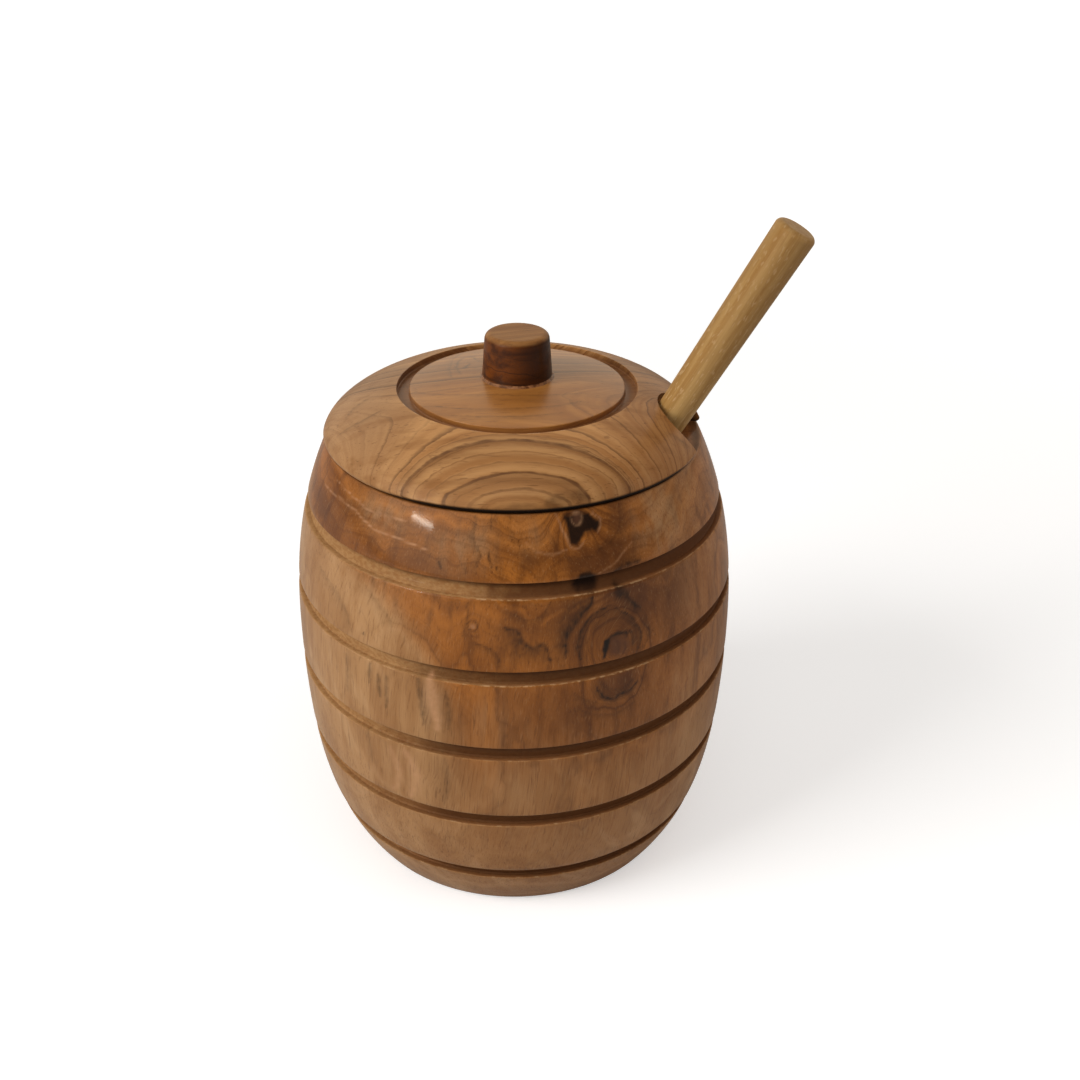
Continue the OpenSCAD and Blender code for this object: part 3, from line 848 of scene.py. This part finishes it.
def body_wood():
    wood = Finish("pot_hardwood")
    px, py, pz = wood.split(wood.place())
    slow = wood.cloud((0.022, 0.022, 0.013), (3, 1, 8), 1.0)
    wavy = wood.cloud((0.10, 0.10, 0.05), (5, 9, 2), 2.0)
    ripple = wood.cloud((0.35, 0.35, 0.16), (1, 5, 6), 2.0)
    push, near, warm, ash, blond_and_sheen = map(wood.number, ("push", "near", "warm", "ash", "blond_and_sheen"))
    dark, black, heart, pale = map(wood.number, ("dark", "black", "heart", "pale"))
    groove, soot, dim, lip, seam = map(wood.number, ("groove", "soot", "dim", "lip", "seam"))
    heart_x, heart_y = px - (pz * 0.03 - 1.5), py + (pz * 0.03 + 1.0)
    distance = (heart_x * heart_x + heart_y * heart_y).root() + push
    distance = distance + slow * 12 + wavy * 4 + ripple * 0.9
    shoulder = pz.step(94, 100)
    lines = ring_lines(wood, distance, 1.3)
    bands = wood.noise_along(distance * 1.7, 3.0, 0.6).step(0.42, 0.68)
    broad = wood.noise_along(distance * 0.5, 2.0)
    bent = wood.join(px + push * 0.8 + wavy * 4 - pz * 0.12, py + push * 0.8 + pz * 0.05, pz)
    streaks, fine, pores = fibre_marks(wood, bent, 1.0, 0.07)
    zone = (warm + (wavy - 0.5) * 0.2 + (streaks - 0.5) * 0.7 + (fine - 0.5) * 0.2).step(0.0, 1.05)
    plume = wood.cloud((0.10, 0.10, 0.022), (9, 2, 5), 1.0)
    tan = wood.mix((streaks * 0.45 + plume * 0.55).step(0.38, 0.56) * 0.75 + 0.25, TAN_DEEP, TAN)
    sweep = wood.noise(wood.join(px * 0.10 + pz * 0.055, py * 0.10, pz * 0.012), 2.0, 0.6)
    tan = wood.mix(sweep.step(0.46, 0.62) * 0.6, tan, TAN_DEEP)
    tan = wood.mix(sweep.step(0.44, 0.34) * 0.5, tan, TAN_LIGHT)
    tan = wood.mix(broad.step(0.5, 0.75) * 0.3, tan, TAN_LIGHT)
    brown = wood.mix(broad.step(0.3, 0.7), AMBER, AMBER_LIGHT)
    brown = wood.mix(streaks.step(0.45, 0.75) * 0.55, brown, AMBER_DEEP)
    colour = wood.mix(zone, tan, brown)
    # Pale blond wood, and a painted sheen high on the left shoulder.
    colour = wood.mix(blond_and_sheen.least(1.0) * streaks.step(0.3, 0.6), colour, TAN_LIGHT)
    colour = wood.mix((ash * (0.6 + wavy * 0.8)).least(0.8), colour, SMOKE)
    colour = wood.mix(bands * (zone * 0.25 + near * 0.3), colour, AMBER_DEEP)
    colour = wood.mix(lines * (0.10 - shoulder * 0.04 + near * 0.8).least(0.9), colour, AMBER_DEEP)
    colour = wood.mix(fine.step(0.5, 0.75) * 0.40, colour, AMBER_DEEP)
    colour = wood.mix(fine.step(0.45, 0.22) * 0.24, colour, TAN_LIGHT)
    colour = wood.mix(pores * 0.32, colour, AMBER_DEEP)
    fuzz = wood.cloud((0.9, 0.9, 1.4), (0, 0, 0), 3.0, 0.6)
    floor_tone = wood.mix(fuzz.step(0.3, 0.7), paint(184, 142, 94), paint(158, 114, 70))
    # Browner, darker groove floors towards the right: partly the wood's brown, partly painted shade.
    floor_tone = wood.mix(dim * 0.95, floor_tone, paint(116, 70, 38))
    # Painted shade under each groove's upper wall and deep in its floor.
    floor_tone = wood.mix(soot, floor_tone, paint(60, 33, 16))
    colour = wood.mix(groove * (0.75 + dim * 0.25).least(1.0), colour, floor_tone)
    colour = wood.mix((dark * (0.8 + fine * 0.5)).least(0.95), colour, INK)
    colour = wood.mix(black, colour, INK)
    colour = wood.mix(heart * (0.5 + ripple * 0.6), colour, PITH)
    colour = wood.mix(pale * (0.3 + fine * 0.7), colour, VEIN)
    # The pale lower groove edge: partly chipped fibre, partly a painted highlight.
    colour = wood.mix(lip * fuzz.step(0.4, 0.6) * 0.55, colour, paint(210, 170, 124))
    # Painted shade in the seam under the lid.
    colour = wood.mix(seam, colour, SEAM_SHADE_COLOUR)
    turned = wood.cloud((0.3, 0.3, 1.9), (6, 2, 4), 3.0, 0.65)
    relief = fine * 0.02 - pores * 0.03 - dark * 0.06 + groove * fuzz * 0.05 + ripple * 0.03 + turned * 0.02
    return wood.done(
        colour, relief, Roughness=0.5 + groove * 0.25, Coat_Weight=(0.5 - groove * 0.4) * (1 - seam),
        Coat_Roughness=0.1,
    )


body_mesh.materials.append(body_wood())
print("materials:", [m.name for m in body_mesh.materials])

# %% [markdown]
# ## The wood of the lid
# The lid's board was cut lengthwise, with the heart of the tree running just under it from left to right.
# So its rings are tubes round a nearly level axis below the front. The dome cuts through them, and that
# gives the nested arches on its front and the long flat ovals on the panel. A few late-wood lines stand out,
# so their distances from the heart are named, and fainter lines at random strengths fill the rest.

# %% Rings round a level axis
LID_HEART, LID_GRAIN = (0.0, -13.0, 100.8), (0.9954, 0.0654, 0.0687)
STRONG_RINGS = [  # distance from the heart and half width in mm, strength
    (27.7, 0.14, 0.5), (28.4, 0.34, 0.8), (29.7, 0.14, 0.5), (30.9, 0.16, 0.5), (32.1, 0.24, 0.8), (32.7, 0.12, 0.5),
    (33.4, 0.22, 0.6), (34.0, 0.12, 0.4), (34.7, 0.55, 0.6),
]


def lid_wood():
    wood = Finish("lid_hardwood")
    slow = wood.cloud((0.02, 0.04, 0.04), (2, 5, 1), 1.0)
    wavy = wood.cloud((0.05, 0.13, 0.13), (8, 4, 6), 2.0)
    ripple = wood.cloud((0.3, 0.6, 0.6), (3, 4, 9), 2.0)
    distance = wood.off_axis(LID_HEART, LID_GRAIN) + (slow - 0.5) * 1.6 + (wavy - 0.5) * 0.9 + (ripple - 0.5) * 0.35
    lines = ring_lines(wood, distance + slow * 2, 0.62) * 0.6
    px, py, pz = wood.split(wood.place())
    dark, seam, ring, lip = map(wood.number, ("dark", "seam", "ring", "lip"))
    panel = (px * px + py * py).root().step(28.5, 26.5)
    lines = lines * (1 - px.step(-22, -38) * 0.8) * (1 - panel * 0.45)
    for at, width, strength in STRONG_RINGS:
        off = distance - at
        mark = (off.size() / width).step(1.0, 0.2) * strength
        shade = off.step(2.2, 0.1) * off.step(-0.1, 0.1) * strength * 0.5
        lines = lines.most(mark * (0.5 + ripple * 0.8)).most(shade)
    broad = wood.noise_along(distance * 0.9, 2.0)
    streaks, fine, pores = fibre_marks(wood, wood.join(py, pz, px), 1.0, 0.07)
    colour = wood.mix(broad.step(0.3, 0.7), paint(196, 145, 90), paint(166, 115, 65))
    colour = wood.mix(panel, colour, (0.72, 0.58, 0.36, 1), "MULTIPLY")
    # Painted reflection: the dome turns greyer towards the left, standing for the room mirrored in the lacquer
    # there.
    colour = wood.mix(px.step(-14, -34) * 0.7, colour, paint(150, 112, 76))
    colour = wood.mix(px.step(12, 34) * 0.65, colour, paint(138, 90, 48))
    colour = wood.mix(streaks.step(0.45, 0.75) * 0.5, colour, paint(124, 78, 36))
    colour = wood.mix(lines.least(1.0), colour, paint(74, 41, 19))
    colour = wood.mix(fine.step(0.5, 0.8) * 0.22, colour, AMBER_DEEP)
    colour = wood.mix(pores * 0.4, colour, AMBER_DEEP)
    colour = wood.mix(dark * (0.6 + fine * 0.6), colour, paint(50, 28, 16))
    # Painted shade in the floor and low walls of the ring.
    colour = wood.mix(ring * (0.45 + ripple * 0.5), colour, paint(118, 76, 46))
    colour = wood.mix(lip * 0.7, colour, paint(208, 168, 122))
    # Painted shade in the seam under the lid.
    colour = wood.mix(seam, colour, SEAM_SHADE_COLOUR)
    return wood.done(
        colour, fine * 0.02 - pores * 0.03, Roughness=0.5, Coat_Weight=(0.5 + panel * 0.5 - ring * 0.4) * (1 - seam),
        Coat_Roughness=0.26,
    )


lid_mesh.materials.clear()
lid_mesh.materials.append(lid_wood())

# %% [markdown]
# ## The knob's wood, the glue and the beech
# The knob is darker wood whose rings cross its side as nearly level lines, and painted shade darkens its right side.
# Its top is lighter and shows only straight fibres. The glue is clear and glossy. Beech is pale and even, with tiny
# paler flecks, its rays, scattered along the grain, and painted shade darkens the stick towards its upper end.

# %% Knob, glue and beech
KNOB_HEART, KNOB_GRAIN = (-4.0, 14.0, 230.0), (0.97, 0.12, -0.2)


def knob_wood():
    wood = Finish("knob_hardwood")
    wavy = wood.cloud((0.12, 0.2, 0.12), (4, 4, 1), 2.0)
    distance = wood.off_axis(KNOB_HEART, KNOB_GRAIN) + (wavy - 0.5) * 2.5
    px, py, pz = wood.split(wood.place())
    top = pz.step(knob_top_z - 1.3, knob_top_z - 0.2)
    lines = ring_lines(wood, distance, 1.5) * (1 - top)
    streaks, fine, pores = fibre_marks(wood, wood.join(py - px * 0.3, pz, px + py * 0.3), 1.3, 0.09)
    shade = wood.mix(streaks.step(0.35, 0.7), paint(104, 54, 16), paint(64, 30, 9))
    # Painted shade: the knob's side darkens towards its right, away from the lamp.
    shade = wood.mix(px.step(-4, 5) * 0.75, shade, paint(38, 16, 6))
    light = wood.mix(streaks.step(0.35, 0.7), paint(150, 104, 56), paint(126, 80, 40))
    colour = wood.mix(top, shade, light)
    colour = wood.mix(lines * 0.75, colour, paint(40, 20, 11))
    colour = wood.mix(fine.step(0.5, 0.75) * 0.45, colour, paint(62, 34, 20))
    colour = wood.mix(pores * 0.4, colour, paint(48, 24, 12))
    return wood.done(
        colour, fine * 0.03 - pores * 0.03, Roughness=0.5,
        Coat_Weight=0.3, Coat_Roughness=0.22,
    )


def glue():
    wood = Finish("clear_glue")
    lumps = wood.cloud((0.8, 0.8, 0.8), (0, 0, 0), 2.0)
    colour = wood.mix(lumps.step(0.35, 0.65), paint(92, 54, 28), paint(140, 92, 56))
    return wood.done(colour, lumps * 0.5, Roughness=0.4, Coat_Weight=0.6, Coat_Roughness=0.1)


def beech_wood():
    wood = Finish("beech")
    grain = wood.cloud((0.5, 0.5, 0.02), (0, 0, 0), 3.0, 0.6)
    fine = wood.cloud((3.0, 3.0, 0.1), (2, 6, 4), 2.0, 0.6)
    flecks = wood.cloud((2.4, 0.9, 0.55), (9, 2, 7), 1.0, 0.5).step(0.58, 0.7)
    colour = wood.mix(grain.step(0.35, 0.7), paint(194, 157, 100), paint(166, 126, 70))
    colour = wood.mix(fine.step(0.4, 0.8) * 0.3, colour, paint(118, 80, 42))
    colour = wood.mix(flecks * 0.5, colour, paint(214, 180, 132))
    along = wood.split(wood.place())[2]
    # Painted shade: the stick darkens towards its upper end.
    colour = wood.mix(along.step(95, 165) * 0.45, colour, paint(112, 74, 32))
    return wood.done(
        colour, fine * 0.03 - flecks * 0.02, Roughness=0.5,
        Coat_Weight=0.2, Coat_Roughness=0.3, Specular_IOR_Level=0.15,
    )


knob.data.materials.append(knob_wood())
bead.data.materials.append(glue())
beech = beech_wood()
for piece in (stick, head):
    piece.data.materials.append(beech)

# %% [markdown]
# ## Floor, light and camera
# The photo is a cut-out on white, so the floor and the sky show as white to the camera only, and the floor
# still takes the object's soft shadow. A broad lamp at the left gives the light side, and a narrow one low at
# the left stands for the bright window whose reflection lies on the shoulder. The lacquer mirrors a dim room
# with a pale wall behind the pot, a curtain at its upper left and the window's glare low at the left. The sky
# gives this room to glossy rays only, because a white one would wash the wood out.

# %% Floor and backdrop
FLOOR_REACH, FLOOR_DROP = 6.0, 0.0002  # in metres
floor_mesh = bpy.data.meshes.new("floor")
corners = [(FLOOR_REACH * i, FLOOR_REACH * j, 0) for i, j in ((-1, -1), (1, -1), (1, 1), (-1, 1))]
floor_mesh.from_pydata(corners, [], [(0, 1, 2, 3)])
floor = add("floor", floor_mesh)
floor.location.z = -FLOOR_DROP
floor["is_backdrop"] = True

ground = Finish("pale_floor")
seen = ground.node("LightPath", output="Is Camera Ray")
bounce = ground.mix(seen, (0.55, 0.52, 0.47, 1), (0.8, 0.8, 0.8, 1))
matt = ground.node("BsdfDiffuse", None, {"Color": bounce})
gx, gy, gz = ground.split(ground.node("TexCoord", output="Object"))
away = (gx * gx + gy * gy).root().step(0.25, 1.2)
shown = ground.mix(seen * (0.43 + away * 0.57), (0, 0, 0, 1), (1.05, 1.05, 1.05, 1))
glow = ground.node("Emission", None, {"Color": shown, "Strength": 1.0})
both = ground.node("AddShader", None, [matt, glow])
ground.node("OutputMaterial", None, {"Surface": both})
floor_mesh.materials.append(ground.material)

world = bpy.data.worlds.new("studio")
bpy.context.scene.world = world
world.use_nodes = True
sky = Finish("unused_sky")
sky.tree = world.node_tree
sky.tree.nodes.clear()
seen = sky.node("LightPath", output="Is Camera Ray")
mirrored = sky.node("LightPath", output="Is Glossy Ray")
dx, dy, dz = sky.split(sky.node("TexCoord", output="Generated"))
ROOM_DARK, ROOM_LIGHT = 0.08, 0.27  # level of the dim room in mirrored and in other rays
wall = dy.step(0.0, 0.7) * 0.8
curtain = (dz * 0.71 - dx * 0.62 - dy * 0.33).step(0.6, 0.95)
glare = (dz * 0.259 - dx * 0.74 - dy * 0.621).step(0.72, 0.99) * 1.4
level = seen.most(mirrored * (wall + curtain + glare + ROOM_DARK) + (1 - mirrored) * ROOM_LIGHT)
tint = sky.mix(mirrored, (1.0, 0.93, 0.85, 1), (1.0, 0.82, 0.62, 1))
tint = sky.mix(seen, tint, (1, 1, 1, 1))
background = sky.node("Background", None, {"Color": tint, "Strength": level})
sky.node("OutputWorld", None, {"Surface": background})
bpy.data.materials.remove(sky.material)

# %% Lamps
LAMP_AIM = (0, 0, 80)  # in mm


def lamp(name, size, power, azimuth, elevation, distance, shows=True, tint=(1, 1, 1)):
    """A flat soft lamp that looks at the pot from an azimuth, counted from the front, and an elevation."""
    data = bpy.data.lights.new(name, "AREA")
    data.shape, data.size, data.size_y = "RECTANGLE", size[0], size[1]
    data.energy, data.color = power, tint
    obj = add(name, data)
    a, e = math.radians(azimuth), math.radians(elevation)
    toward = np.array([math.sin(a) * math.cos(e), -math.cos(a) * math.cos(e), math.sin(e)])
    obj.location = toward * distance + np.array(LAMP_AIM) * MM
    obj.rotation_euler = Vector(toward).to_track_quat("Z", "Y").to_euler()
    obj.visible_glossy = shows


lamp("broad_left", (0.9, 0.9), 21, -62, 32, 1.7, shows=False)
lamp("overhead", (1.4, 1.4), 5.0, 10, 70, 1.8, shows=False)
lamp("fill_right", (1.0, 1.0), 6.5, 78, 20, 1.7, shows=False, tint=(1.0, 0.92, 0.88))
lamp("window", (0.26, 0.02), 0.8, -49.8, 15.2, 1.2, tint=(1.0, 0.9, 0.76))

# %% Camera
CAM_TILT, CAM_ROLL = 0.50336634, 0.0036776  # down and round its own axis, in radians
CAM_AT = (6.5125, -290.883, 241.344)
SENSOR, FOCAL_PX, FRAME_PX = 36.0, 1306.804, 1080.0
camera_frame = (
    Matrix.Translation(Vector(CAM_AT) * MM)
    @ Matrix.Rotation(math.radians(90) - CAM_TILT, 4, "X")
    @ Matrix.Rotation(CAM_ROLL, 4, "Z")
)
camera_data = bpy.data.cameras.new("camera")
camera_data.sensor_width = SENSOR
camera_data.lens = FOCAL_PX / FRAME_PX * SENSOR
camera_data.clip_start, camera_data.clip_end = 0.01, 50
bpy.context.scene.camera = add("camera", camera_data, camera_frame)
bpy.context.scene.view_settings.view_transform = "Standard"
print("lens", round(camera_data.lens, 2), "mm")

# %% Print the visual box and finish
low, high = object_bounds()
print("visual box in mm:", [round(v / MM, 2) for v in (*low, *high)])
